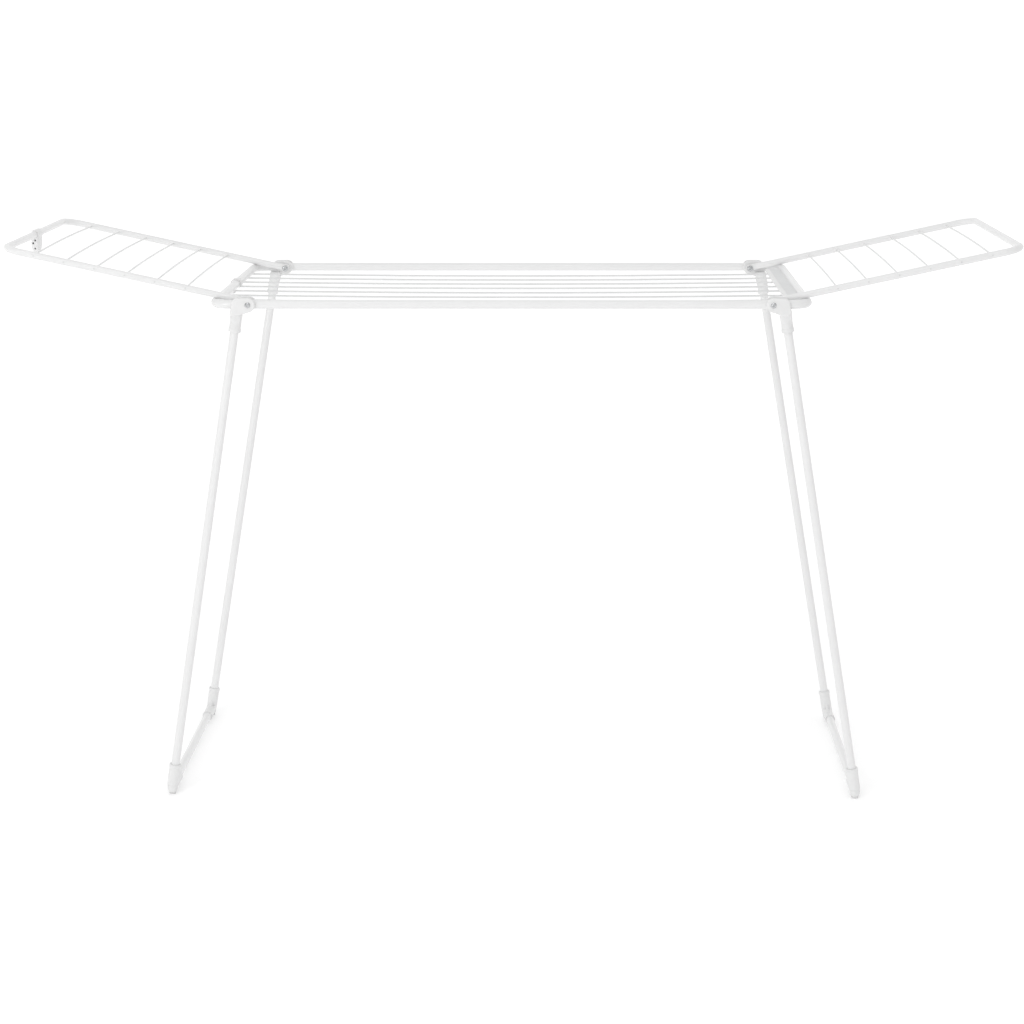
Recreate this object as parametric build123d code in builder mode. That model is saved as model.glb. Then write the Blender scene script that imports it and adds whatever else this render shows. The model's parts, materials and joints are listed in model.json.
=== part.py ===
from build123d import *
import os
from math import asin, cos, degrees, radians, sin

# Winged clothes drying rack, standing open. Millimetres, +Z up. The origin is on the floor,
# under the middle of the rack. X runs along the rack, Y across it.

os.makedirs("parts", exist_ok=True)

# ---- driving dimensions ----
FRAME_HEIGHT = 961.0        # floor to the axis of the main tube
END_BAR_X = 541.0           # axis of each end bar of the main loop
RAIL_Y = 275.0              # axis of each long rail of the main loop
MAIN_CORNER = 32.0          # bend radius of the main loop
MAIN_D = 16.0
LEG_D = 16.0
WING_D = 12.5
MAIN_WALL = 0.9
WING_WALL = 0.8

WIRE_COUNT = 7              # lengthwise drying wires in the main frame
WIRE_PITCH = 62.5
WIRE_D = 3.5
WIRE_DROP = 3.9             # the wires enter the end bars this far below their axis
WIRE_SAG = 4.0

PIVOT_X = 476.0             # the rivets that legs and wings both turn on
RIVET_D = 6.0
RUNNING_FIT = 0.06          # radial clearance on the rivets
BODY_GAP = 0.3              # between curved faces of pieces that move apart

WING_REACH = 460.0          # pivot to the axis of the wing's end bar
WING_Y = 251.0              # axis of the wing's side tubes
WING_RISE = 1.0             # the wing tube's axis passes this far above the pivot
WING_CORNER = 33.0
WING_WIRE_COUNT = 6
WING_WIRE_PITCH = 56.5
WING_WIRE_D = 3.0
WING_WIRE_BOW = 4.0

LEG_LEAN = 9.8              # degrees from upright, seen from the side
LEG_OFFSET = 20.4           # leg axis to pivot, square to the leg
LEG_TOP_Y = 261.0           # the two tubes of a leg frame close in towards the floor,
LEG_FLOOR_Y = 234.0         # so that one leg frame folds inside the other
FLOOR_BAR_Z = 15.5
BRACKET_LENGTH = 57.0       # pivot to the lower rim of the bracket's socket
SOCKET_R = 10.75

# ---- worked out ----
MAIN_R = MAIN_D / 2
LEG_R = LEG_D / 2
WING_R = WING_D / 2
HOLE_R = RIVET_D / 2 + RUNNING_FIT
REST_DISTANCE = MAIN_R + WING_R + BODY_GAP
REST_X = END_BAR_X - 1.0    # the wing rests where the end bar begins to bend
WING_TILT = degrees(asin((REST_DISTANCE - WING_RISE) / (REST_X - PIVOT_X)))
LEAN_SIN = sin(radians(LEG_LEAN))
LEAN_COS = cos(radians(LEG_LEAN))
LEG_CLOSE = (LEG_TOP_Y - LEG_FLOOR_Y) / FRAME_HEIGHT

# places across the rack, along a rivet, from the outside in
OUTER_CHEEK = (RAIL_Y + MAIN_R + 5.5, RAIL_Y + MAIN_R + BODY_GAP)
INNER_CHEEK = (RAIL_Y - MAIN_R - BODY_GAP, RAIL_Y - MAIN_R - 6.6)
SPACER = (INNER_CHEEK[1] - 0.2, WING_Y + WING_R + 0.2)
EYE = (WING_Y + WING_R, WING_Y - WING_R)
TAIL_WASHER = (EYE[1] - 0.2, EYE[1] - 1.6)


def save(piece, name):
    """Label a finished piece and write it as its own STEP."""
    piece.label = name
    export_step(piece, f"parts/{name}.step")


def in_quarter(piece, sx, sy):
    """A piece drawn in the +X, +Y quarter, mirrored into the quarter wanted."""
    if sx < 0:
        piece = mirror(piece, about=Plane.YZ)
    if sy < 0:
        piece = mirror(piece, about=Plane.XZ)
    return piece


def turned(outline, origin, direction):
    """A turned solid: a closed outline of (radius, height), revolved and set along direction."""
    with BuildPart() as piece:
        with BuildSketch(Plane.XZ):
            with BuildLine():
                Polyline(*outline, close=True)
            make_face()
        revolve(axis=Axis.Z)
    return Plane(origin=origin, z_dir=direction) * piece.part


def side_plane(y):
    """Upright plane at y whose origin is the pivot: x runs outboard, y runs up."""
    return Plane(origin=(PIVOT_X, y, FRAME_HEIGHT), x_dir=(1, 0, 0), z_dir=(0, -1, 0))


def leg_side(along, across):
    """Point in the side plane, from distances along and across the leg, from the pivot."""
    return (across * LEAN_COS + along * LEAN_SIN, across * LEAN_SIN - along * LEAN_COS)


def leg_point(z):
    """Point on the leg's axis at height z, in the +X, +Y quarter."""
    drop = FRAME_HEIGHT - z
    x = PIVOT_X + LEG_OFFSET / LEAN_COS + drop * LEAN_SIN / LEAN_COS
    return Vector(x, LEG_TOP_Y - LEG_CLOSE * drop, z)


LEG_DOWN = (leg_point(0) - leg_point(FRAME_HEIGHT)).normalized()
SOCKET_TOP_Z = FRAME_HEIGHT + leg_side(14, LEG_OFFSET)[1]
SOCKET_RIM_Z = FRAME_HEIGHT + leg_side(BRACKET_LENGTH, LEG_OFFSET)[1]
LEG_TUBE_TOP_Z = SOCKET_TOP_Z - 7
LEG_TUBE_END_Z = FLOOR_BAR_Z + 11
FOOT = leg_point(FLOOR_BAR_Z)

WING_PLANE = Plane(
    origin=(PIVOT_X, 0, FRAME_HEIGHT),
    x_dir=(cos(radians(WING_TILT)), 0, sin(radians(WING_TILT))),
    z_dir=(-sin(radians(WING_TILT)), 0, cos(radians(WING_TILT))),
)


def on_wing(reach, y, rise=WING_RISE):
    """Point of the right wing, from its distance along the wing, y, and rise over the pivot."""
    return WING_PLANE.from_local_coords(Vector(reach, y, rise))


def rod(path, radius, bore=0):
    """A wire or tube: a circle of this radius carried along the path."""
    with BuildPart() as piece:
        with BuildSketch(Plane(origin=path @ 0, z_dir=path % 0)):
            Circle(radius)
            if bore:
                Circle(bore, mode=Mode.SUBTRACT)
        sweep(path=path)
    return piece.part


# ---- main frame: wires, and the loop that they are welded into ----
def drying_wire(y):
    half_span = END_BAR_X - MAIN_R + 1.2
    z = FRAME_HEIGHT - WIRE_DROP
    with BuildLine() as path:
        ThreePointArc((-half_span, y, z), (0, y, z - WIRE_SAG), (half_span, y, z))
    return rod(path.line, WIRE_D / 2)


drying_wires = []
for index in range(WIRE_COUNT):
    wire = drying_wire((index - (WIRE_COUNT - 1) / 2) * WIRE_PITCH)
    drying_wires.append(wire)
    save(wire, f"drying_wire_{index + 1}")


def main_tube(sy):
    """Half of the main loop: one long rail, two bends, and half of each end bar."""
    with BuildLine() as path:
        FilletPolyline(
            (-END_BAR_X, 0, FRAME_HEIGHT),
            (-END_BAR_X, sy * RAIL_Y, FRAME_HEIGHT),
            (END_BAR_X, sy * RAIL_Y, FRAME_HEIGHT),
            (END_BAR_X, 0, FRAME_HEIGHT),
            radius=MAIN_CORNER,
        )
    tube = rod(path.line, MAIN_R, MAIN_R - MAIN_WALL)
    with BuildPart() as piece:
        add(tube)
        for wire_solid in drying_wires:
            add(wire_solid, mode=Mode.SUBTRACT)
        with BuildSketch(Plane.XZ.offset(-sy * RAIL_Y)):
            with Locations((-PIVOT_X, FRAME_HEIGHT), (PIVOT_X, FRAME_HEIGHT)):
                Circle(HOLE_R)
        extrude(amount=MAIN_D, both=True, mode=Mode.SUBTRACT)
    return piece.part


save(main_tube(-1), "main_tube_front")
save(main_tube(1), "main_tube_back")

# short swaged sleeve inside each end bar, where the two halves of the loop meet
JOINER_LENGTH = 50.0
JOINER_WALL = 0.9
with BuildPart() as tube_joiners:
    joiner_r = MAIN_R - MAIN_WALL - 0.02
    with BuildSketch(Plane.XZ.offset(-JOINER_LENGTH / 2)):
        with Locations((-END_BAR_X, FRAME_HEIGHT), (END_BAR_X, FRAME_HEIGHT)):
            Circle(joiner_r)
            Circle(joiner_r - JOINER_WALL, mode=Mode.SUBTRACT)
    extrude(amount=JOINER_LENGTH)
save(tube_joiners.part, "tube_joiners")

# ---- shallow tray along the inside of the right end bar, with a grey inlay ----
TRAY_X = 503.0
TRAY_LENGTH = 410.0
TRAY_BASE = FRAME_HEIGHT + 0.3
TRAY_THICK = 3.6
TRAY_BORDER = 8.0
INLAY_THICK = 1.2
CLIP_X = 518.0
CLIP_SIZE = (12.0, 6.8, 7.6)
with BuildPart() as end_tray:
    tray_width = END_BAR_X - TRAY_X
    with BuildSketch(Plane.XY.offset(TRAY_BASE)):
        with Locations((TRAY_X + tray_width / 2, 0)):
            RectangleRounded(tray_width, TRAY_LENGTH, 3)
    extrude(amount=TRAY_THICK)
    with BuildSketch(Plane.XY.offset(TRAY_BASE + TRAY_THICK)):
        with Locations((TRAY_X + TRAY_BORDER + tray_width / 2, 0)):
            Rectangle(tray_width, TRAY_LENGTH - 2 * TRAY_BORDER)
    extrude(amount=-INLAY_THICK - 0.8, mode=Mode.SUBTRACT)
    clip_places = [(CLIP_X, (k - 2) * WIRE_PITCH, TRAY_BASE - CLIP_SIZE[2] / 2) for k in range(5)]
    with Locations(*clip_places):
        Box(*CLIP_SIZE)
        Box(CLIP_SIZE[0] + 1, WIRE_D + 0.1, CLIP_SIZE[2], mode=Mode.SUBTRACT)
    with Locations(Location((END_BAR_X, 0, FRAME_HEIGHT), (90, 0, 0))):
        Cylinder(MAIN_R + 0.05, TRAY_LENGTH + 2, mode=Mode.SUBTRACT)
save(end_tray.part, "end_tray")

with BuildPart() as tray_inlay:
    inlay_start = TRAY_X + TRAY_BORDER + 0.2
    inlay_width = END_BAR_X - inlay_start
    with BuildSketch(Plane.XY.offset(TRAY_BASE + TRAY_THICK - INLAY_THICK - 0.8)):
        with Locations((inlay_start + inlay_width / 2, 0)):
            Rectangle(inlay_width, TRAY_LENGTH - 2 * TRAY_BORDER - 0.4)
    extrude(amount=INLAY_THICK)
    with Locations(Location((END_BAR_X, 0, FRAME_HEIGHT), (90, 0, 0))):
        Cylinder(MAIN_R + 0.05, TRAY_LENGTH, mode=Mode.SUBTRACT)
save(tray_inlay.part, "tray_inlay")

# ---- carry clip on the left end bar: a ring with a small open hook under it ----
CLIP_RING_R = 10.6
CLIP_WIDTH = 15.0
CLIP_Y = 12.0               # beside the middle wire
HOOK_PLACE = (12.0, -7.0)
HOOK_R = 7.2
HOOK_MOUTH_R = 4.9
with BuildPart() as carry_clip:
    with BuildSketch(Plane(origin=(-END_BAR_X, CLIP_Y + CLIP_WIDTH / 2, FRAME_HEIGHT), z_dir=(0, -1, 0))):
        Circle(CLIP_RING_R)
        with Locations(HOOK_PLACE):
            Circle(HOOK_R)
            Circle(HOOK_MOUTH_R, mode=Mode.SUBTRACT)
        with Locations((HOOK_PLACE[0], HOOK_PLACE[1] + HOOK_R)):
            Rectangle(2 * HOOK_MOUTH_R, 2 * HOOK_R, mode=Mode.SUBTRACT)
        Circle(MAIN_R + 0.02, mode=Mode.SUBTRACT)
    extrude(amount=CLIP_WIDTH)
save(carry_clip.part, "carry_clip")

# ---- pivots: one rivet in each quarter holds rail, leg bracket and wing ----
HEAD_R = 5.3
HEAD_HIGH = 2.4
with BuildPart() as pivot_rivets:
    shank_r = RIVET_D / 2
    tail = TAIL_WASHER[1]
    head = OUTER_CHEEK[0] + 0.1
    rivet = turned(
        [
            (0, tail + 1.0), (2.0, tail + 1.0), (2.6, tail - 1.6), (4.3, tail - 1.0), (4.3, tail - 0.1),
            (shank_r, tail - 0.1), (shank_r, head), (HEAD_R, head), (HEAD_R - 0.3, head + 0.9),
            (HEAD_R - 2.0, head + HEAD_HIGH - 0.3), (HEAD_R - 2.6, head + HEAD_HIGH),
            (2.3, head + HEAD_HIGH - 0.2), (2.0, head + 0.9), (0, head + 0.9),
        ],
        (PIVOT_X, 0, FRAME_HEIGHT),
        (0, 1, 0),
    )
    for sx in (-1, 1):
        for sy in (-1, 1):
            add(in_quarter(rivet, sx, sy))
save(pivot_rivets.part, "pivot_rivets")

with BuildPart() as pivot_washers:
    for near, far in (SPACER, TAIL_WASHER):
        with BuildSketch(side_plane(near)):
            Circle(6.2)
            Circle(HOLE_R, mode=Mode.SUBTRACT)
        extrude(amount=near - far)
    mirror(about=Plane.YZ)
    mirror(about=Plane.XZ)
save(pivot_washers.part, "pivot_washers")


# ---- legs ----
def bracket_bridge():
    """Web that carries the outer cheek in under the rail to the socket."""
    top = FRAME_HEIGHT - MAIN_R - 0.4
    with BuildPart() as piece:
        with BuildSketch(Plane.YZ.offset(PIVOT_X)):
            with BuildLine():
                Polyline(
                    (INNER_CHEEK[1], top), (OUTER_CHEEK[0], top), (OUTER_CHEEK[0], top - 7),
                    (LEG_TOP_Y + SOCKET_R - 1, top - 26), (INNER_CHEEK[1], top - 26), close=True,
                )
            make_face()
        extrude(amount=60)
        with BuildSketch(side_plane(OUTER_CHEEK[0] + 5)):
            with BuildLine():
                CenterArc(leg_side(14, LEG_OFFSET), SOCKET_R - 1, 0, 360)
                CenterArc(leg_side(36, LEG_OFFSET), SOCKET_R - 1, 0, 360)
            make_hull()
        extrude(amount=60, mode=Mode.INTERSECT)
    return piece.part


def leg_bracket():
    """Moulded bracket: two rounded cheeks on the rivet, and a socket for the leg tube."""
    rim = (leg_point(SOCKET_RIM_Z) - leg_point(SOCKET_TOP_Z)).length
    socket = turned(
        [(0, 0), (SOCKET_R, 0), (SOCKET_R, rim - 8), (SOCKET_R + 0.75, rim - 5.5),
         (SOCKET_R + 0.75, rim - 1), (SOCKET_R, rim), (0, rim)],
        leg_point(SOCKET_TOP_Z), LEG_DOWN,
    )
    bridge = bracket_bridge()
    with BuildPart() as piece:
        for near, far in (OUTER_CHEEK, INNER_CHEEK):
            with BuildSketch(side_plane(near)):
                with BuildLine():
                    CenterArc((0, 0), 13, 0, 360)
                    CenterArc((19.5, 3), 9.5, 0, 360)
                    CenterArc(leg_side(15, LEG_OFFSET), SOCKET_R - 1.4, 0, 360)
                make_hull()
            extrude(amount=near - far)
        rounded = piece.faces().filter_by(Axis.Y).sort_by(Axis.Y)[-1].edges()
        fillet(rounded, 1.8)
        add(bridge)
        add(socket)
        with BuildSketch(Plane(origin=leg_point(LEG_TUBE_TOP_Z), z_dir=LEG_DOWN)):
            Circle(LEG_R + 0.02)
        extrude(amount=BRACKET_LENGTH, mode=Mode.SUBTRACT)
        with BuildSketch(side_plane(OUTER_CHEEK[0] + 1)):
            Circle(HOLE_R)
        extrude(amount=40, mode=Mode.SUBTRACT)
    return piece.part


def leg_tube():
    length = (leg_point(LEG_TUBE_TOP_Z) - leg_point(LEG_TUBE_END_Z)).length
    with BuildPart() as piece:
        with BuildSketch(Plane(origin=leg_point(LEG_TUBE_TOP_Z), z_dir=LEG_DOWN)):
            Circle(LEG_R)
            Circle(LEG_R - MAIN_WALL, mode=Mode.SUBTRACT)
        extrude(amount=length)
    return piece.part


FOOT_SLEEVE = 46.0
BAR_SLEEVE = 54.0
BAR_SLEEVE_R = 10.2
TIP_TOP = 4.2
TIP_STEM_R = 3.6
FLOOR_BAR_END = FOOT.Y - 11.5


def foot_moulding():
    """Moulded foot: a sleeve up the leg, one along the floor bar, a nub, and a curved rib."""
    up = -LEG_DOWN
    sleeve = turned(
        [(0, 0), (SOCKET_R, 0), (SOCKET_R, FOOT_SLEEVE - 8), (SOCKET_R + 0.7, FOOT_SLEEVE - 5.5),
         (SOCKET_R + 0.7, FOOT_SLEEVE - 1), (SOCKET_R - 0.2, FOOT_SLEEVE), (0, FOOT_SLEEVE)],
        FOOT, up,
    )
    bar_sleeve = turned(
        [(0, 0), (BAR_SLEEVE_R, 0), (BAR_SLEEVE_R - 0.3, BAR_SLEEVE - 6),
         (BAR_SLEEVE_R + 0.3, BAR_SLEEVE - 4), (BAR_SLEEVE_R + 0.3, BAR_SLEEVE - 1),
         (BAR_SLEEVE_R - 0.5, BAR_SLEEVE), (0, BAR_SLEEVE)],
        FOOT, (0, -1, 0),
    )
    nub = turned(
        [(0, 0), (9.8, 0), (9.4, FLOOR_BAR_Z - 9), (7.4, FLOOR_BAR_Z - TIP_TOP),
         (0, FLOOR_BAR_Z - TIP_TOP)],
        FOOT, (0, 0, -1),
    )
    rib_plane = Plane(origin=FOOT, x_dir=(0, -1, 0), z_dir=Vector(0, -1, 0).cross(up))
    with BuildPart() as piece:
        add(sleeve)
        add(bar_sleeve)
        add(nub)
        with Locations(FOOT):
            Sphere(SOCKET_R)
        with BuildSketch(rib_plane):
            with BuildLine():
                Line((0, 0), (0, 40))
                Line((0, 40), (9, 40))
                ThreePointArc((9, 40), (19, 19), (48, 8.5))
                Line((48, 8.5), (48, 0))
                Line((48, 0), (0, 0))
            make_face()
            with Locations((14.2, 14.2)):
                Circle(3.0, mode=Mode.SUBTRACT)
        extrude(amount=2.6, both=True)
        with BuildSketch(Plane(origin=leg_point(LEG_TUBE_END_Z), z_dir=up)):
            Circle(LEG_R + 0.02)
        extrude(amount=60, mode=Mode.SUBTRACT)
        with BuildSketch(Plane.XZ.offset(-FLOOR_BAR_END)):
            with Locations((FOOT.X, FOOT.Z)):
                Circle(LEG_R + 0.02)
        extrude(amount=60, mode=Mode.SUBTRACT)
        with BuildSketch(Plane.XY):
            with Locations((FOOT.X, FOOT.Y)):
                Circle(TIP_STEM_R + 0.02)
        extrude(amount=10.4, mode=Mode.SUBTRACT)
    return piece.part


def foot_tip():
    """Soft tip pressed into the nub, flat where it stands on the floor."""
    return turned(
        [(0, 0), (6.0, 0), (6.8, 0.9), (7.2, TIP_TOP), (TIP_STEM_R, TIP_TOP), (TIP_STEM_R, 10.2),
         (0, 10.2)],
        (FOOT.X, FOOT.Y, 0), (0, 0, 1),
    )


def floor_bar():
    with BuildPart() as piece:
        with BuildSketch(Plane.XZ.offset(-FLOOR_BAR_END)):
            with Locations((FOOT.X, FOOT.Z)):
                Circle(LEG_R)
                Circle(LEG_R - MAIN_WALL, mode=Mode.SUBTRACT)
        extrude(amount=2 * FLOOR_BAR_END)
    return piece.part


# ---- wings ----
def wing_wire(index):
    reach = WING_REACH - WING_WIRE_PITCH * (WING_WIRE_COUNT - index)
    half_span = WING_Y + WING_R + 1.0
    with BuildLine() as path:
        ThreePointArc(
            on_wing(reach, -half_span),
            on_wing(reach, 0, WING_RISE + WING_WIRE_BOW),
            on_wing(reach, half_span),
        )
    return rod(path.line, WING_WIRE_D / 2)


WING_TUBE_START = 13.0


def wing_tube(wires):
    """U of thinner tube, drilled for its cross wires."""
    with BuildLine() as path:
        FilletPolyline(
            on_wing(WING_TUBE_START, WING_Y),
            on_wing(WING_REACH, WING_Y),
            on_wing(WING_REACH, -WING_Y),
            on_wing(WING_TUBE_START, -WING_Y),
            radius=WING_CORNER,
        )
    tube = rod(path.line, WING_R, WING_R - WING_WALL)
    with BuildPart() as piece:
        add(tube)
        for wire_solid in wires:
            add(wire_solid, mode=Mode.SUBTRACT)
    return piece.part


def wing_eye():
    """End plug of a wing tube: an eye on the rivet and a stem inside the tube."""
    along = WING_PLANE.x_dir
    start = on_wing(3, WING_Y)
    neck = WING_TUBE_START - 3
    stem = turned(
        [(0, 0), (WING_R, 0), (WING_R, neck), (WING_R - WING_WALL - 0.02, neck),
         (WING_R - WING_WALL - 0.02, neck + 22), (0, neck + 22)],
        start, along,
    )
    with BuildPart() as piece:
        with BuildSketch(side_plane(EYE[0])):
            Circle(7.6)
        extrude(amount=EYE[0] - EYE[1])
        add(stem)
        with BuildSketch(side_plane(EYE[0] + 1)):
            Circle(HOLE_R)
        extrude(amount=WING_D + 2, mode=Mode.SUBTRACT)
    return piece.part


# hanger holder: a block clipped on the middle of the left wing's end bar
HOLDER_LENGTH = 38.0
HOLDER_WIDTH = 11.5
HOLDER_DROP = 37.0
HOLDER_WALL = 2.3
SNAP_MOUTH = 2.2            # the clip is open on its outboard side, this far from the bar's axis
HANGER_HOLE_R = 1.9
HANGER_HOLE_DEPTH = 14.0
HANGER_HOLES = [(1.6, -11.0), (-2.6, -16.5), (0.0, -27.0)]


def hanger_holder():
    axis = on_wing(WING_REACH, 0)
    centre = Vector(-axis.X, 0, axis.Z)
    front = Plane(origin=centre - Vector(0, HOLDER_LENGTH / 2, 0), z_dir=(0, -1, 0), x_dir=(1, 0, 0))
    with BuildPart() as piece:
        with BuildSketch(front):
            Circle(WING_R + HOLDER_WALL)
            with BuildLine():
                Polyline(
                    (-HOLDER_WIDTH / 2, 0), (HOLDER_WIDTH / 2, 0),
                    (HOLDER_WIDTH / 2, -HOLDER_DROP + 9), (HOLDER_WIDTH / 2 - 2.6, -HOLDER_DROP),
                    (-HOLDER_WIDTH / 2 + 2.6, -HOLDER_DROP), (-HOLDER_WIDTH / 2, -HOLDER_DROP + 9),
                    close=True,
                )
            make_face()
        extrude(amount=-HOLDER_LENGTH)
        side = Plane(origin=centre - Vector(20, 0, 0), x_dir=(0, 1, 0), z_dir=(1, 0, 0))
        half = HOLDER_LENGTH / 2
        with BuildSketch(side):
            with BuildLine():
                Polyline(
                    (-half, 12), (half, 12), (half, -HOLDER_DROP + 18), (half - 9, -HOLDER_DROP - 1),
                    (-half + 9, -HOLDER_DROP - 1), (-half, -HOLDER_DROP + 18), close=True,
                )
            make_face()
        extrude(amount=40, mode=Mode.INTERSECT)
        with BuildSketch(front):
            with Locations(*HANGER_HOLES):
                Circle(HANGER_HOLE_R)
        extrude(amount=-HANGER_HOLE_DEPTH, mode=Mode.SUBTRACT)
        with BuildSketch(front):
            Circle(WING_R + 0.02)
            with Locations((-WING_D, 0)):
                Rectangle(2 * WING_D - 2 * SNAP_MOUTH, WING_D)
        extrude(amount=-HOLDER_LENGTH, mode=Mode.SUBTRACT)
    return piece.part


# ---- the pieces of each side, mirrored from the right and back quarter ----
bracket = leg_bracket()
tube = leg_tube()
moulding = foot_moulding()
tip = foot_tip()
bar = floor_bar()
eye = wing_eye()
right_wing_wires = [wing_wire(index) for index in range(WING_WIRE_COUNT)]
right_wing_tube = wing_tube(right_wing_wires)

for side, sx in (("left", -1), ("right", 1)):
    save(in_quarter(right_wing_tube, sx, 1), f"{side}_wing_tube")
    save(in_quarter(bar, sx, 1), f"{side}_floor_bar")
    for index, wire in enumerate(right_wing_wires):
        save(in_quarter(wire, sx, 1), f"{side}_wing_wire_{index + 1}")
    for end, sy in (("front", -1), ("back", 1)):
        save(in_quarter(bracket, sx, sy), f"{side}_{end}_leg_bracket")
        save(in_quarter(tube, sx, sy), f"{side}_{end}_leg_tube")
        save(in_quarter(moulding, sx, sy), f"{side}_{end}_foot")
        save(in_quarter(tip, sx, sy), f"{side}_{end}_foot_tip")
        save(in_quarter(eye, sx, sy), f"{side}_{end}_wing_eye")
save(hanger_holder(), "hanger_holder")
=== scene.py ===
# %% [markdown]
# # A winged clothes drying rack, finished for a render
# The rack's tubes, wires, rivets and joints come from the CAD model, which is loaded as a fixed
# frame. This file gives them their finishes, makes the moulded plastic pieces and the welds as
# worked-out surfaces, and sets up the light and the camera. Everything is in metres.

# %% Load the frame
import json
from math import atan2, cos, pi, sin

import bpy
import numpy as np
from mathutils import Matrix, Vector


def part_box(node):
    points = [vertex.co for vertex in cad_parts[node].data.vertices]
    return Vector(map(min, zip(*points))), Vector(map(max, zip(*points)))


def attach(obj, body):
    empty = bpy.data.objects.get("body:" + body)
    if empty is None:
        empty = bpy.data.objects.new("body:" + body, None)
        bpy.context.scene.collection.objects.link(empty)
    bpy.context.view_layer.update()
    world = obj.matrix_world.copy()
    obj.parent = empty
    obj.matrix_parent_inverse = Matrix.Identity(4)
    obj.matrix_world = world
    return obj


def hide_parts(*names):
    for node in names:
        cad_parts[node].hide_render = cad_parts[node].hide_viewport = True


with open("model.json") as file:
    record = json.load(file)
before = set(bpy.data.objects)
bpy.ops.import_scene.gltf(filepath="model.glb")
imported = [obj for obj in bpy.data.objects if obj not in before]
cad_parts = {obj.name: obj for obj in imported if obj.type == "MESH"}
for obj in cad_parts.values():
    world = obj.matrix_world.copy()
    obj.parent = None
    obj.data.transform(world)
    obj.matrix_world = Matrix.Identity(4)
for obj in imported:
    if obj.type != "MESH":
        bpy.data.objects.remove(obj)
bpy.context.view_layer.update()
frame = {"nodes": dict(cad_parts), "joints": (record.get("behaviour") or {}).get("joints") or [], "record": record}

nodes = frame["nodes"]

# %% [markdown]
# ## Reading places from the frame
# A straight tube's mesh is the same all round its axis, so the mean of its corners lies on the axis
# and the direction in which they spread most is the axis. That gives the exact line of each leg
# without repeating any of the CAD's angles here.

# %% Lines and levels of the rack
MM = 0.001


def corners(node):
    """All corner points of a CAD node, as an array of x, y, z rows."""
    mesh = nodes[node].data
    flat = np.empty(len(mesh.vertices) * 3)
    mesh.vertices.foreach_get("co", flat)
    return flat.reshape(-1, 3)


def middle_line(node):
    """Mean point of a straight tube, and its unit direction, pointing down or towards +y."""
    points = np.unique(corners(node).round(6), axis=0)
    centre = (points.max(axis=0) + points.min(axis=0)) / 2
    direction = np.linalg.svd(points - points.mean(axis=0), full_matrices=False)[2][0]
    heading = -direction[2] if abs(direction[2]) > 0.5 else direction[1]
    return centre, direction * np.sign(heading)


joints = {joint["name"]: joint for joint in frame["joints"]}
PIVOT = np.array(joints["right_leg_fold"]["pos_m"])
LEG_AXIS, LEG_DOWN = middle_line("right_back_leg_tube")
TUBE_R = 8.0 * MM
WING_R = 6.25 * MM
RAIL_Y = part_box("main_tube_back")[1][1] - TUBE_R
END_BAR_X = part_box("main_tube_back")[1][0] - TUBE_R
print("pivot", PIVOT, "leg axis", LEG_AXIS.round(4), "direction", LEG_DOWN.round(4))

# %% [markdown]
# ## Meshes from arrays
# Every new piece is a surface of two parameters: a ring of points, carried along a line. One array
# holds all the rings, so numpy works out every point at once. `skin` joins each ring to the next
# and closes both ends, which makes a closed solid whatever the rings are.

# %% Helpers that turn rings of points into a closed mesh


def skin(rings):
    """Points and faces of a closed solid. Each ring joins the next; a fan closes each end."""
    count, around = rings.shape[:2]
    index = np.arange(count * around).reshape(count, around)
    here, there = index[:-1], index[1:]
    quads = np.stack([here, np.roll(here, -1, 1), np.roll(there, -1, 1), there], -1).reshape(-1, 4)
    poles = count * around + np.arange(2)
    points = np.vstack([rings.reshape(-1, 3), rings[0].mean(0), rings[-1].mean(0)])
    first = np.stack([np.roll(index[0], -1), index[0], np.full(around, poles[0])], -1)
    last = np.stack([index[-1], np.roll(index[-1], -1), np.full(around, poles[1])], -1)
    return points, quads, np.vstack([first, last])


def outward(points, quads, triangles):
    """The same solid with its faces turned outward, told by the sign of its volume."""
    halves = np.vstack([quads[:, [0, 1, 2]], quads[:, [0, 2, 3]], triangles])
    a, b, c = points[halves[:, 0]], points[halves[:, 1]], points[halves[:, 2]]
    if np.einsum("ij,ij->i", a, np.cross(b, c)).sum() < 0:
        return points, quads[:, ::-1], triangles[:, ::-1]
    return points, quads, triangles


def piece(name, solids, material, body):
    """One object from several closed solids, smooth shaded, riding on a body."""
    points, quads, triangles, start = [], [], [], 0
    for solid in solids:
        p, q, t = outward(*solid)
        points.append(p)
        quads.append(q + start)
        triangles.append(t + start)
        start += len(p)
    points, quads, triangles = np.vstack(points), np.vstack(quads), np.vstack(triangles)
    mesh = bpy.data.meshes.new(name)
    mesh.vertices.add(len(points))
    mesh.vertices.foreach_set("co", points.astype(np.float32).ravel())
    mesh.loops.add(quads.size + triangles.size)
    mesh.loops.foreach_set("vertex_index", np.concatenate([quads.ravel(), triangles.ravel()]))
    starts = np.concatenate([
        np.arange(len(quads)) * 4,
        quads.size + np.arange(len(triangles)) * 3,
    ])
    mesh.polygons.add(len(starts))
    mesh.polygons.foreach_set("loop_start", starts)
    mesh.polygons.foreach_set("use_smooth", np.ones(len(starts), bool))
    mesh.update(calc_edges=True)
    mesh.materials.append(material)
    thing = bpy.data.objects.new(name, mesh)
    bpy.context.scene.collection.objects.link(thing)
    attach(thing, body)
    print(f"{name}: {len(points)} points, {len(starts)} faces, on {body}")
    return thing


# %% [markdown]
# ## Finishes
# A render looks real when a finish does what the real process does. Powder coat flows before it
# sets, so it is smooth but carries a faint ripple called orange peel. A moulded part copies the
# fine spark-eroded grain of its tool. Plated rivets are metal, with turning marks round their
# axis. Each pattern's scale below comes from its size in millimetres.

# %% Functions for colours, shader nodes and patterns


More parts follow.
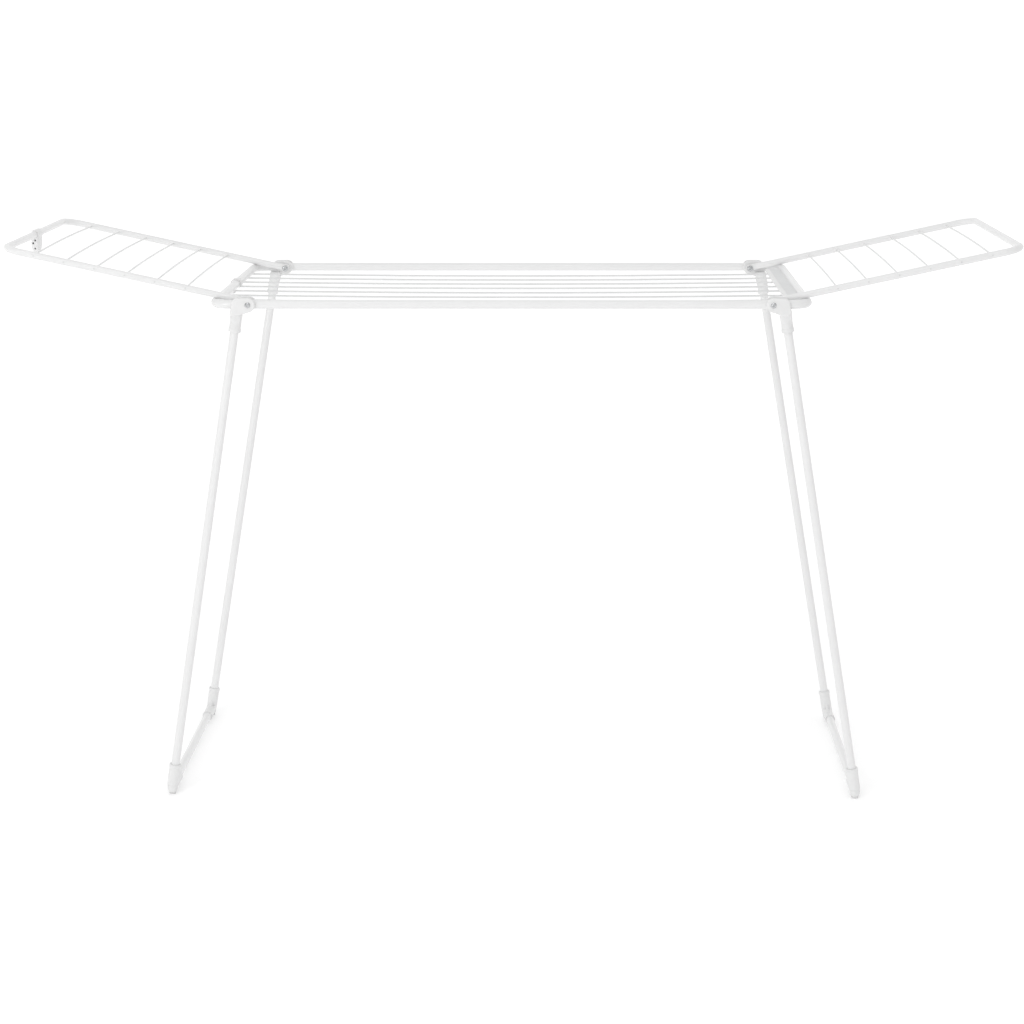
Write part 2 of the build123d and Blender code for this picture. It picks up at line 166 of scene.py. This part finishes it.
def linear(code):
    """A colour given as sRGB hex, turned to the linear values that the shaders work in."""
    parts = [int(code[i:i + 2], 16) / 255 for i in (0, 2, 4)]
    return tuple(p / 12.92 if p <= 0.04045 else ((p + 0.055) / 1.055) ** 2.4 for p in parts) + (1,)


def add(tree, kind, values=(), links=(), **settings):
    """Add a node. values fill input sockets, links join (socket, node, output), settings are its own."""
    made = tree.nodes.new(kind)
    for name, value in settings.items():
        setattr(made, name, value)
    for socket, value in dict(values).items():
        made.inputs[socket].default_value = value
    for socket, source, output in links:
        tree.links.new(source.outputs[output], made.inputs[socket])
    return made


def new_material(name):
    """An empty material and its node tree."""
    material = bpy.data.materials.new(name)
    material.use_nodes = True
    material.node_tree.nodes.clear()
    return material, material.node_tree


def mottled(tree, place, patch_mm, dark, light):
    """Colour that drifts between two close tones, in patches of about patch_mm."""
    noise = add(tree, "ShaderNodeTexNoise", {"Scale": 1000 / patch_mm, "Detail": 3.0},
                [("Vector", place, "Object")])
    blend = add(tree, "ShaderNodeMix", links=[("Factor", noise, "Fac")], data_type="RGBA")
    blend.inputs["A"].default_value = linear(dark)
    blend.inputs["B"].default_value = linear(light)
    return blend


def uneven_gloss(tree, place, patch_mm, low, high):
    """Roughness that varies between low and high in patches of about patch_mm."""
    noise = add(tree, "ShaderNodeTexNoise", {"Scale": 1000 / patch_mm, "Detail": 2.0},
                [("Vector", place, "Object")])
    return add(tree, "ShaderNodeMapRange", {"To Min": low, "To Max": high}, [("Value", noise, "Fac")])


def rippled(tree, place, grain_mm, depth_mm, detail=2.0):
    """Bump whose waves are grain_mm long and depth_mm deep."""
    noise = add(tree, "ShaderNodeTexNoise", {"Scale": 1000 / grain_mm, "Detail": detail},
                [("Vector", place, "Object")])
    return add(tree, "ShaderNodeBump", {"Strength": 1.0, "Distance": depth_mm * MM},
               [("Height", noise, "Fac")])


def finish_with(tree, colour, gloss, bump, values):
    """Join colour, roughness and bump to a Principled shader and the output; gives the shader."""
    shader = add(tree, "ShaderNodeBsdfPrincipled", values, [
        ("Base Color", colour, "Result"), ("Roughness", gloss, "Result"), ("Normal", bump, "Normal"),
    ])
    add(tree, "ShaderNodeOutputMaterial", links=[("Surface", shader, "BSDF")])
    return shader


# %% White polyester powder coat on the tubes
# Electrostatic powder, baked at 190 degrees: a clean white skin about 0.08 mm thick. Its orange
# peel has waves of 2 to 3 mm, which break up long highlights along a tube.


def powder_coat(name, dark, light, peel_mm, peel_depth_mm):
    """Glossy white skin over steel, with peel_mm waves of orange peel."""
    material, tree = new_material(name)
    place = add(tree, "ShaderNodeTexCoord")
    finish_with(
        tree,
        mottled(tree, place, 90, dark, light),
        uneven_gloss(tree, place, 25, 0.26, 0.36),
        rippled(tree, place, peel_mm, peel_depth_mm),
        {"IOR": 1.5, "Coat Weight": 0.25, "Coat Roughness": 0.12, "Coat IOR": 1.5},
    )
    return material


tube_coat = powder_coat("white_powder_coat", "E3E3E3", "E9E9E9", 2.6, 0.012)
wire_coat = powder_coat("wire_powder_coat", "D3D4D4", "DEDEDE", 1.8, 0.01)

# %% White moulded polypropylene for brackets, feet and clips
# Polypropylene is slightly milky, so a little light spreads under its surface. Its spark-eroded
# grain is about 0.1 mm in life and is drawn at 0.5 mm, the finest that shows.


def moulded_plastic(name, dark, light, low, high, grain_mm=0.5, grain_depth_mm=0.012):
    """Satin plastic whose roughness runs from low to high over a fine grain."""
    material, tree = new_material(name)
    place = add(tree, "ShaderNodeTexCoord")
    finish_with(
        tree,
        mottled(tree, place, 35, dark, light),
        uneven_gloss(tree, place, 12, low, high),
        rippled(tree, place, grain_mm, grain_depth_mm, detail=4.0),
        {"IOR": 1.49, "Subsurface Weight": 0.06, "Subsurface Scale": 0.002,
         "Subsurface Radius": (1.0, 1.0, 1.0)},
    )
    return material


white_moulding = moulded_plastic("white_polypropylene", "E0E0E0", "E7E7E7", 0.36, 0.46)
# The inlay plate is the same white polypropylene as the other mouldings. Its grey tone here is painted shade: the
# dimness its flat top takes from above is put into its colour.
inlay_painted_shade = moulded_plastic("polypropylene_painted_shade_grey", "D4D5D5", "DEDFDF", 0.45, 0.55, 0.8, 0.02)
soft_tip = moulded_plastic("soft_elastomer", "CECECE", "D8D8D7", 0.55, 0.7, 0.9, 0.02)

# %% Zinc-plated steel for the rivets and washers
# Bright plating over turned steel. The rings left by turning lie round each rivet's axis, which
# runs along y, and are drawn 0.4 mm apart. Folding the coordinates at x = 0 with their absolute
# value, then taking away the pivot, puts the middle of the rings on every rivet at once.
RING_GAP = 0.4 * MM
RINGS_AT_SCALE_1 = 2 * pi / 20      # gap between rings of a wave texture whose scale is 1


def zinc_plate():
    """Bright metal with turning rings centred on every rivet."""
    material, tree = new_material("zinc_plated_steel")
    place = add(tree, "ShaderNodeTexCoord")
    folded = add(tree, "ShaderNodeVectorMath", links=[(0, place, "Object")], operation="ABSOLUTE")
    centred = add(tree, "ShaderNodeVectorMath", [(1, (PIVOT[0], 0, PIVOT[2]))],
                  [(0, folded, "Vector")], operation="SUBTRACT")
    rings = add(tree, "ShaderNodeTexWave",
                {"Scale": RINGS_AT_SCALE_1 / RING_GAP, "Distortion": 1.5, "Detail": 1.0},
                [("Vector", centred, "Vector")], wave_type="RINGS", rings_direction="Y")
    bump = add(tree, "ShaderNodeBump", {"Strength": 1.0, "Distance": 0.006 * MM},
               [("Height", rings, "Fac")])
    finish_with(
        tree,
        mottled(tree, place, 4, "B6B8BA", "D0D1D2"),
        uneven_gloss(tree, place, 3, 0.2, 0.34),
        bump,
        {"Metallic": 1.0},
    )
    return material


zinc = zinc_plate()

# %% Give every CAD piece its finish
FINISHES = {
    "tube_paint": tube_coat, "wire_coat": wire_coat, "moulded_white": white_moulding,
    "inlay_grey": inlay_painted_shade, "rivet_steel": zinc, "tip_rubber": soft_tip,
}
slot_of = {row["node"]: row["material_slot"] for row in frame["record"]["subparts"]}
for name, thing in nodes.items():
    for place in thing.material_slots:
        place.material = FINISHES[slot_of[name]]
print(len(nodes), "CAD pieces finished in", sorted(set(slot_of.values())))

# %% [markdown]
# ## Superellipse sections
# A moulded part often changes from a flat plate to a round socket. A superellipse does that with
# one number: |a|^n + |b|^n = 1 is a circle at n = 2 and nearly a rectangle at n = 5.

# %% A superellipse outline


def superellipse(power, around=48):
    """Unit outline: cos and sin of the angle, each raised to 2 / power with its sign kept."""
    angle = np.linspace(0, 2 * pi, around, endpoint=False)
    power = np.asarray(power, float)[..., None]
    a, b = np.cos(angle), np.sin(angle)
    return np.sign(a) * abs(a) ** (2 / power), np.sign(b) * abs(b) ** (2 / power)


def ease(value, low, high):
    """0 below low, 1 above high, and a smooth s-curve between."""
    t = np.clip((value - low) / (high - low), 0, 1)
    return t * t * (3 - 2 * t)


QUARTERS = [(side, end, sx, sy) for side, sx in (("left", -1), ("right", 1))
            for end, sy in (("front", -1), ("back", 1))]

# %% [markdown]
# ## The leg brackets
# Each bracket is one moulding. Two rounded cheeks hold the rail between them on the rivet. Under
# the rail they run together into an elbow, which narrows and turns round to make the socket that
# the leg tube is pushed into, with a thicker rim at its mouth. Plates joined to a cylinder would
# give this shape too, but with hard creases at the elbow, so the elbow and socket are one skin
# whose section changes from a rounded block to a circle.

# %% Shape of one bracket
SOCKET_R = 10.75 * MM
NOSE_R = 13.0 * MM
CHEEK_OUT = (RAIL_Y + TUBE_R + 0.3 * MM, RAIL_Y + TUBE_R + 5.5 * MM)
CHEEK_IN = (RAIL_Y - TUBE_R - 6.6 * MM, RAIL_Y - TUBE_R - 0.3 * MM)

LEAN = atan2(LEG_DOWN[0], -LEG_DOWN[2])
ALONG = np.array([sin(LEAN), 0, -cos(LEAN)])
ACROSS = np.array([cos(LEAN), 0, sin(LEAN)])
LEG_START = LEG_AXIS + LEG_DOWN * ((PIVOT - LEG_AXIS) @ ALONG / (LEG_DOWN @ ALONG))
LEG_OFFSET = (LEG_START - PIVOT) @ ACROSS


def rounded_plate(centre, outline, y_low, y_high, edge):
    """A plate with rounded edges. outline is its edge as (across, along) rows about centre.
    A quarter circle of radius edge carries it inward at both faces: the inset is
    edge * (1 - cos t) and the depth edge * (1 - sin t), for t from a right angle to 0."""
    ahead = np.roll(outline, -1, 0) - np.roll(outline, 1, 0)
    inward = np.stack([-ahead[:, 1], ahead[:, 0]], -1) / np.linalg.norm(ahead, axis=1)[:, None]
    inward *= np.sign((inward * (outline.mean(0) - outline)).sum())
    t = np.linspace(0, pi / 2, 6)
    inset = np.concatenate([edge * (1 - np.sin(t)), edge * (1 - np.cos(t))])
    depth = np.concatenate([edge * (1 - np.cos(t)), y_high - y_low - edge * (1 - np.sin(t))])
    flat = outline + inset[:, None, None] * inward
    rings = centre + flat[..., :1] * ACROSS + flat[..., 1:] * ALONG
    rings[..., 1] = (y_low + depth)[:, None]
    return skin(rings)


def cheek_outline(around=96):
    """Edge of a cheek: the outermost reach of three round bosses, which is their hull.
    In each direction the hull reaches as far as the furthest boss, and its edge point is where
    that reach and its rate of change put it."""
    bosses = np.array([[0, 0, NOSE_R], [19.7 * MM, 0.4 * MM, 9.5 * MM],
                       [LEG_OFFSET, 15 * MM, 9.4 * MM]])
    angle = np.linspace(0, 2 * pi, around * 8, endpoint=False)
    way = np.stack([np.cos(angle), np.sin(angle)], -1)
    furthest = (way @ bosses[:, :2].T + bosses[:, 2]).argmax(1)
    edge = bosses[furthest, :2] + bosses[furthest, 2:] * way
    steps = np.linalg.norm(np.roll(edge, -1, 0) - edge, axis=1)
    run = np.concatenate([[0], np.cumsum(steps)])
    even = np.linspace(0, run[-1], around, endpoint=False)
    closed = np.vstack([edge, edge[:1]])
    return np.stack([np.interp(even, run, closed[:, k]) for k in (0, 1)], -1)


def elbow_and_socket():
    """Sections down the leg. Near the rail each is a rounded block that reaches out to the outer
    cheek; it eases into a circle round the leg, swells at the rim, and turns in at the mouth."""
    down = MM * np.concatenate([
        [12.4, 12.55, 12.9, 13.5, 14.4], np.linspace(16, 48, 17),
        [49, 50, 51, 52, 54, 56, 56.6, 56.95, 57, 57, 55],
    ])
    axis = LEG_START + LEG_DOWN * (down / (LEG_DOWN @ ALONG))[:, None]
    turn = ease(down, 17 * MM, 44 * MM)
    tilt = LEAN * ease(down, 12 * MM, 30 * MM)
    full = CHEEK_OUT[1] - 0.25 * MM
    reach_out = full - (full - axis[:, 1] - SOCKET_R) * turn
    reach_in = axis[:, 1] - SOCKET_R
    swell = 0.75 * MM * ease(down, 48.5 * MM, 51 * MM)
    corner = MM * np.concatenate([[2.2, 1.2, 0.5, 0.12], np.zeros(len(down) - 9),
                                  [0.3, 0.8, 1.6, 3.2, 3.2]])
    half_y = (reach_out - reach_in) / 2 + swell - corner
    half_a = SOCKET_R + swell - corner
    a, b = superellipse(4.6 - 2.6 * turn)
    side = np.stack([np.cos(tilt), np.zeros_like(tilt), np.sin(tilt)], -1)
    middle = axis.copy()
    middle[:, 1] = (reach_out + reach_in) / 2
    rings = middle[:, None] + (half_a[:, None] * a)[..., None] * side[:, None]
    rings[..., 1] += half_y[:, None] * b
    return skin(rings)


bracket_solids = [
    rounded_plate(PIVOT, cheek_outline(), *CHEEK_OUT, 1.8 * MM),
    rounded_plate(PIVOT, cheek_outline(), *CHEEK_IN, 1.0 * MM),
    elbow_and_socket(),
]

# %% The four brackets
for side, end, sx, sy in QUARTERS:
    flip = np.array([sx, sy, 1])
    solids = [(points * flip, quads, triangles) for points, quads, triangles in bracket_solids]
    bracket = piece(f"{side}_{end}_bracket_moulding", solids, white_moulding,
                    f"{side}_leg")
    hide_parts(f"{side}_{end}_leg_bracket")

# %% [markdown]
# ## The feet
# A foot is a bent sleeve: one arm goes up the leg, the other along the floor bar. It is a circle
# carried along a line with one bend. A nub under the bend holds the soft tip, and a curved rib
# inside the bend stiffens it and leaves a small window.

# %% Shape of one foot
LEVEL = middle_line("right_floor_bar")[0][2]
FOOT = LEG_AXIS + LEG_DOWN * ((LEVEL - LEG_AXIS[2]) / LEG_DOWN[2])
UP, INWARD = -LEG_DOWN, np.array([0.0, -1.0, 0.0])


def bend_path(up_length, in_length, bend, steps):
    """Points down the leg, round a bend, and in along the bar, with the way ahead at each.
    The bend is a quarter turn: corner + bend * ((1 - sin t) up + (1 - cos t) in)."""
    t = np.linspace(0, pi / 2, 14)[:, None]
    fall = np.linspace(up_length, bend, steps, endpoint=False)[:, None]
    run = np.linspace(bend, in_length, steps + 1)[1:, None]
    points = np.vstack([
        FOOT + fall * UP,
        FOOT + bend * ((1 - np.sin(t)) * UP + (1 - np.cos(t)) * INWARD),
        FOOT + run * INWARD,
    ])
    ahead = np.vstack([
        np.tile(-UP, (steps, 1)), -np.cos(t) * UP + np.sin(t) * INWARD, np.tile(INWARD, (steps, 1)),
    ])
    return points, ahead / np.linalg.norm(ahead, axis=1)[:, None]


def round_section(points, ahead, across, radius, around=40):
    """Circles of the given radius about each point, square to the way ahead."""
    third = np.cross(ahead, across)
    third /= np.linalg.norm(third, axis=1)[:, None]
    flat = np.cross(third, ahead)
    a, b = superellipse(2.0, around)
    return points[:, None] + radius[:, None, None] * (
        a[:, None] * flat[:, None] + b[:, None] * third[:, None])


def foot_sleeve():
    """The bent sleeve: straight arms, a bend, and a swollen rim at both mouths."""
    points, ahead = bend_path(46 * MM, 54 * MM, 9 * MM, 40)
    run = np.concatenate([[0], np.cumsum(np.linalg.norm(np.diff(points, axis=0), axis=1))])
    left = run[-1] - run
    radius = SOCKET_R - 0.55 * MM * ease(run, 30 * MM, 60 * MM)
    for distance, rise in ((run, 0.75 * MM), (left, 0.5 * MM)):
        radius = radius + rise * ease(-distance, -8 * MM, -5.5 * MM)
        radius = radius - 0.7 * MM * ease(-distance, -1.2 * MM, 0)
    hidden = TUBE_R - 0.5 * MM
    points = np.vstack([points[:1] - 3 * MM * UP, points[:1], points, points[-1:],
                        points[-1:] - 3 * MM * INWARD])
    ahead = np.vstack([ahead[:1], ahead[:1], ahead, ahead[-1:], ahead[-1:]])
    radius = np.concatenate([[hidden, hidden], radius, [hidden, hidden]])
    return skin(round_section(points, ahead, np.array([1.0, 0, 0]), radius))


def turned_down(outline, around=40):
    """A turned shape under the foot: rows of (radius, height), spun about the upright through it."""
    radius, height = np.array(outline).T * MM
    angle = np.linspace(0, 2 * pi, around, endpoint=False)
    ring = np.stack([np.cos(angle), np.sin(angle)], -1)
    rings = np.empty((len(radius), around, 3))
    rings[..., :2] = FOOT[:2] + radius[:, None, None] * ring
    rings[..., 2] = height[:, None]
    return skin(rings)


def foot_rib():
    """The stiffening rib: a rounded bar carried along a quarter of a superellipse that runs from
    the upright arm to the level arm, so it sags toward the bend between them."""
    t = np.linspace(0, pi / 2, 30)[:, None]
    centre = FOOT + 41 * MM * UP + 48 * MM * INWARD
    reach_up, reach_in = 38 * MM, 45 * MM
    points = centre - reach_in * np.cos(t) ** 0.8 * INWARD - reach_up * np.sin(t) ** 0.8 * UP
    ahead = np.gradient(points, axis=0)
    ahead /= np.linalg.norm(ahead, axis=1)[:, None]
    third = np.cross(ahead, np.array([1.0, 0, 0]))
    third /= np.linalg.norm(third, axis=1)[:, None]
    flat = np.cross(third, ahead)
    a, b = superellipse(3.2, 28)
    rings = points[:, None] + 2.7 * MM * a[:, None] * flat[:, None]
    rings = rings + 1.9 * MM * b[:, None] * third[:, None]
    return skin(rings)


NUB = [(6.0, 22), (9.6, 17), (9.9, 13), (9.6, 9.5), (8.9, 7.0), (7.9, 4.9), (7.4, 4.3), (6.6, 4.25)]
foot_solids = [foot_sleeve(), turned_down(NUB), foot_rib()]

# %% The four feet
for side, end, sx, sy in QUARTERS:
    flip = np.array([sx, sy, 1])
    solids = [(points * flip, quads, triangles) for points, quads, triangles in foot_solids]
    foot = piece(f"{side}_{end}_foot_moulding", solids, white_moulding, f"{side}_leg")
    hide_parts(f"{side}_{end}_foot")

# %% [markdown]
# ## Weld beads
# Each wire is resistance-welded where it meets a tube, and the coat rounds the joint into a small
# collar. The bead is a ring of points round the wire: its inner edge lies on the wire, its outer
# edge lies on the tube, and a hollow curve joins them.

# %% Beads where the wires meet the tubes
WIRE_R, WING_WIRE_R = 1.75 * MM, 1.5 * MM
BEAD, WING_BEAD = 1.3 * MM, 1.1 * MM        # how far each collar spreads beyond its wire
WING_NUB = 0.8 * MM                         # the same, where a wing wire shows outside its tube


def weld_bead(tube_point, wire_point, out, along_tube, wire_r, tube_r, spread):
    """A collar round a wire that leaves a tube in the direction out. At angle t round the wire and
    step s from 0 to 1 outward, the distance from the wire's axis is wire_r + spread * s. The height
    is the tube's own surface there, the square root of tube_r squared less the distance off the
    tube's middle squared, plus a hollow curve, spread * (1 - s) squared."""
    t = np.linspace(0, 2 * pi, 20, endpoint=False)
    s = np.linspace(0, 1, 6)[:, None]
    reach = wire_r - 0.1 * MM + (spread + 0.1 * MM) * s
    beside = np.cross(out, along_tube)
    off = (wire_point - tube_point) @ beside + reach * np.sin(t)
    surface = np.sqrt(np.maximum(tube_r ** 2 - off ** 2, (0.3 * tube_r) ** 2))
    height = surface + spread * (1 - s) ** 2 - 0.05 * MM * s
    level = tube_point + (reach * np.cos(t))[..., None] * along_tube + off[..., None] * beside
    rings = level + height[..., None] * out
    root = level[-1:] + (0.25 * tube_r) * out
    return skin(np.concatenate([root, rings[::-1]]))


def wire_end(node, side_y):
    """Middle of a wing wire's end, at the side given by the sign of side_y."""
    points = corners(node)
    end = points[points[:, 1] * side_y > abs(points[:, 1]).max() - 2 * MM]
    return (end.max(0) + end.min(0)) / 2


X, Y = np.eye(3)[:2]
beads = []
for name in sorted(n for n in nodes if n.startswith("drying_wire_")):
    low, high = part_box(name)
    y = (low[1] + high[1]) / 2
    for sx in (-1, 1):
        tube_point = np.array([sx * END_BAR_X, y, PIVOT[2]])
        wire_point = np.array([sx * END_BAR_X, y, high[2] - WIRE_R])
        beads.append(weld_bead(tube_point, wire_point, -sx * X, Y, WIRE_R, TUBE_R, BEAD))
piece("frame_weld_beads", beads, tube_coat, "frame")

for side in ("left", "right"):
    beads = []
    tube_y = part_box(f"{side}_wing_tube")[1][1] - WING_R
    along = wire_end(f"{side}_wing_wire_6", 1) - wire_end(f"{side}_wing_wire_1", 1)
    along /= np.linalg.norm(along)
    for k in range(1, 7):
        for sy in (-1, 1):
            hub = wire_end(f"{side}_wing_wire_{k}", sy) * [1, 0, 1] + [0, sy * tube_y, 0]
            beads.append(weld_bead(hub, hub, -sy * Y, along, WING_WIRE_R, WING_R, WING_BEAD))
            beads.append(weld_bead(hub, hub, sy * Y, along, WING_WIRE_R, WING_R, WING_NUB))
    piece(f"{side}_wing_weld_beads", beads, tube_coat, f"{side}_wing")

# %% [markdown]
# ## Studio
# The rack stands on a light table: a white acrylic sheet, lit from behind, whose floor curves up
# into a wall, so no horizon shows. White tube on white only reads if some of its edges fall off to
# grey. The room is lit evenly, a little more from above and behind. A weak soft box hangs high in
# front, and a stronger one stands at the front left, so right-hand faces fall off to grey and the
# tubes look round. The table's own glow keeps the ground whiter than the rack, and it grows
# towards the back, where the boxes no longer reach.

# %% Floor and sweep
GLOW_NEAR, GLOW_FAR = 0.14, 0.24        # the sheet's own light under the rack and far behind it


def sweep_floor(half_width=14.0, front=-9.0, back=7.0, bend=1.6, top=2.0, steps=24):
    """A profile in y and z, floor then quarter bend then wall, carried straight across in x."""
    t = np.linspace(0, pi / 2, steps)
    y = np.concatenate([np.linspace(front, back, 6), back + bend * np.sin(t), [back + bend]])
    z = np.concatenate([np.zeros(6), bend * (1 - np.cos(t)), [top]])
    x = np.array([-half_width, half_width])
    points = np.stack(np.broadcast_arrays(x[:, None], y, z), -1).reshape(-1, 3)
    n = len(y)
    first = np.arange(n - 1)
    return points, np.stack([first, first + n, first + n + 1, first + 1], -1)


def light_table():
    """Matt white acrylic, lit from behind, with the faintest mottle."""
    material, tree = new_material("light_table_acrylic")
    place = add(tree, "ShaderNodeTexCoord")
    axes = add(tree, "ShaderNodeSeparateXYZ", links=[("Vector", place, "Object")])
    glow = add(tree, "ShaderNodeMapRange", {"From Min": 0.4, "From Max": 4.0,
                                            "To Min": GLOW_NEAR, "To Max": GLOW_FAR},
               [("Value", axes, "Y")])
    shader = finish_with(tree, mottled(tree, place, 600, "F6F6F6", "F9F9F9"),
                         uneven_gloss(tree, place, 300, 0.85, 0.95), rippled(tree, place, 40, 0.05),
                         {"Specular IOR Level": 0.2, "Emission Color": linear("FFFFFF")})
    tree.links.new(glow.outputs["Result"], shader.inputs["Emission Strength"])
    return material


floor_points, floor_faces = sweep_floor()
floor_mesh = bpy.data.meshes.new("studio_floor")
floor_mesh.from_pydata(floor_points.tolist(), [], floor_faces.tolist())
floor_mesh.polygons.foreach_set("use_smooth", np.ones(len(floor_faces), bool))
floor_mesh.materials.append(light_table())
studio_floor = bpy.data.objects.new("studio_floor", floor_mesh)
bpy.context.scene.collection.objects.link(studio_floor)

# %% Lights and the space around


def soft_box(name, place, target, size, watts):
    """A square area light at place, facing target."""
    lamp = bpy.data.lights.new(name, "AREA")
    lamp.shape, lamp.size, lamp.energy = "SQUARE", size, watts
    thing = bpy.data.objects.new(name, lamp)
    thing.location = place
    thing.rotation_euler = (Vector(target) - Vector(place)).to_track_quat("-Z", "Y").to_euler()
    bpy.context.scene.collection.objects.link(thing)


MIDDLE = (0.0, 0.0, 0.6)            # of the rack, where both boxes point
soft_box("front_left_box", (-3.4, -4.8, 1.9), MIDDLE, 2.6, 56)
soft_box("high_front_box", (-0.8, -3.4, 5.2), MIDDLE, 3.0, 32)

BRIGHT_SIDE = Vector((0.2, 0.75, 0.6)).normalized()     # behind and above
SPACE_FRONT, SPACE_BACK = 0.735, 0.97                   # brightness away from it, and towards it
world = bpy.data.worlds.new("studio_space")
world.use_nodes = True
tree = world.node_tree
tree.nodes.clear()
ray = add(tree, "ShaderNodeTexCoord")
back = add(tree, "ShaderNodeVectorMath", [(1, BRIGHT_SIDE)], [(0, ray, "Generated")],
           operation="DOT_PRODUCT")
fall = add(tree, "ShaderNodeMapRange", {"From Min": 0.0, "From Max": 0.85,
                                        "To Min": SPACE_FRONT, "To Max": SPACE_BACK},
           [("Value", back, "Value")])
space = add(tree, "ShaderNodeBackground", {"Color": linear("FFFFFF")}, [("Strength", fall, "Result")])
add(tree, "ShaderNodeOutputWorld", links=[("Surface", space, "Background")])
bpy.context.scene.world = world

# %% [markdown]
# ## Camera
# A long lens a little above the rack, as in a catalogue: far enough away that the legs stay nearly
# parallel, and just high enough to see the wires as rows.

# %% The catalogue view. Angles are in radians; a positive pitch looks down
EYE = Vector((0.1112, -4.1853, 1.5161))
YAW, PITCH, ROLL = -0.0278, 0.2364, -0.0035
LENS = 76.235

ahead = Vector((sin(YAW) * cos(PITCH), cos(YAW) * cos(PITCH), -sin(PITCH)))
right = Vector((cos(YAW), -sin(YAW), 0))
above = right.cross(ahead)
turn = Matrix((right, above, -ahead)).transposed() @ Matrix.Rotation(ROLL, 3, "Z")
lens = bpy.data.cameras.new("catalogue_lens")
lens.lens, lens.sensor_width = LENS, 36.0
camera = bpy.data.objects.new("catalogue_camera", lens)
camera.matrix_world = Matrix.Translation(EYE) @ turn.to_4x4()
bpy.context.scene.collection.objects.link(camera)
bpy.context.scene.camera = camera
bpy.context.scene.view_settings.view_transform = "Standard"
print("camera at", [round(v, 3) for v in EYE], "lens", LENS, "mm")
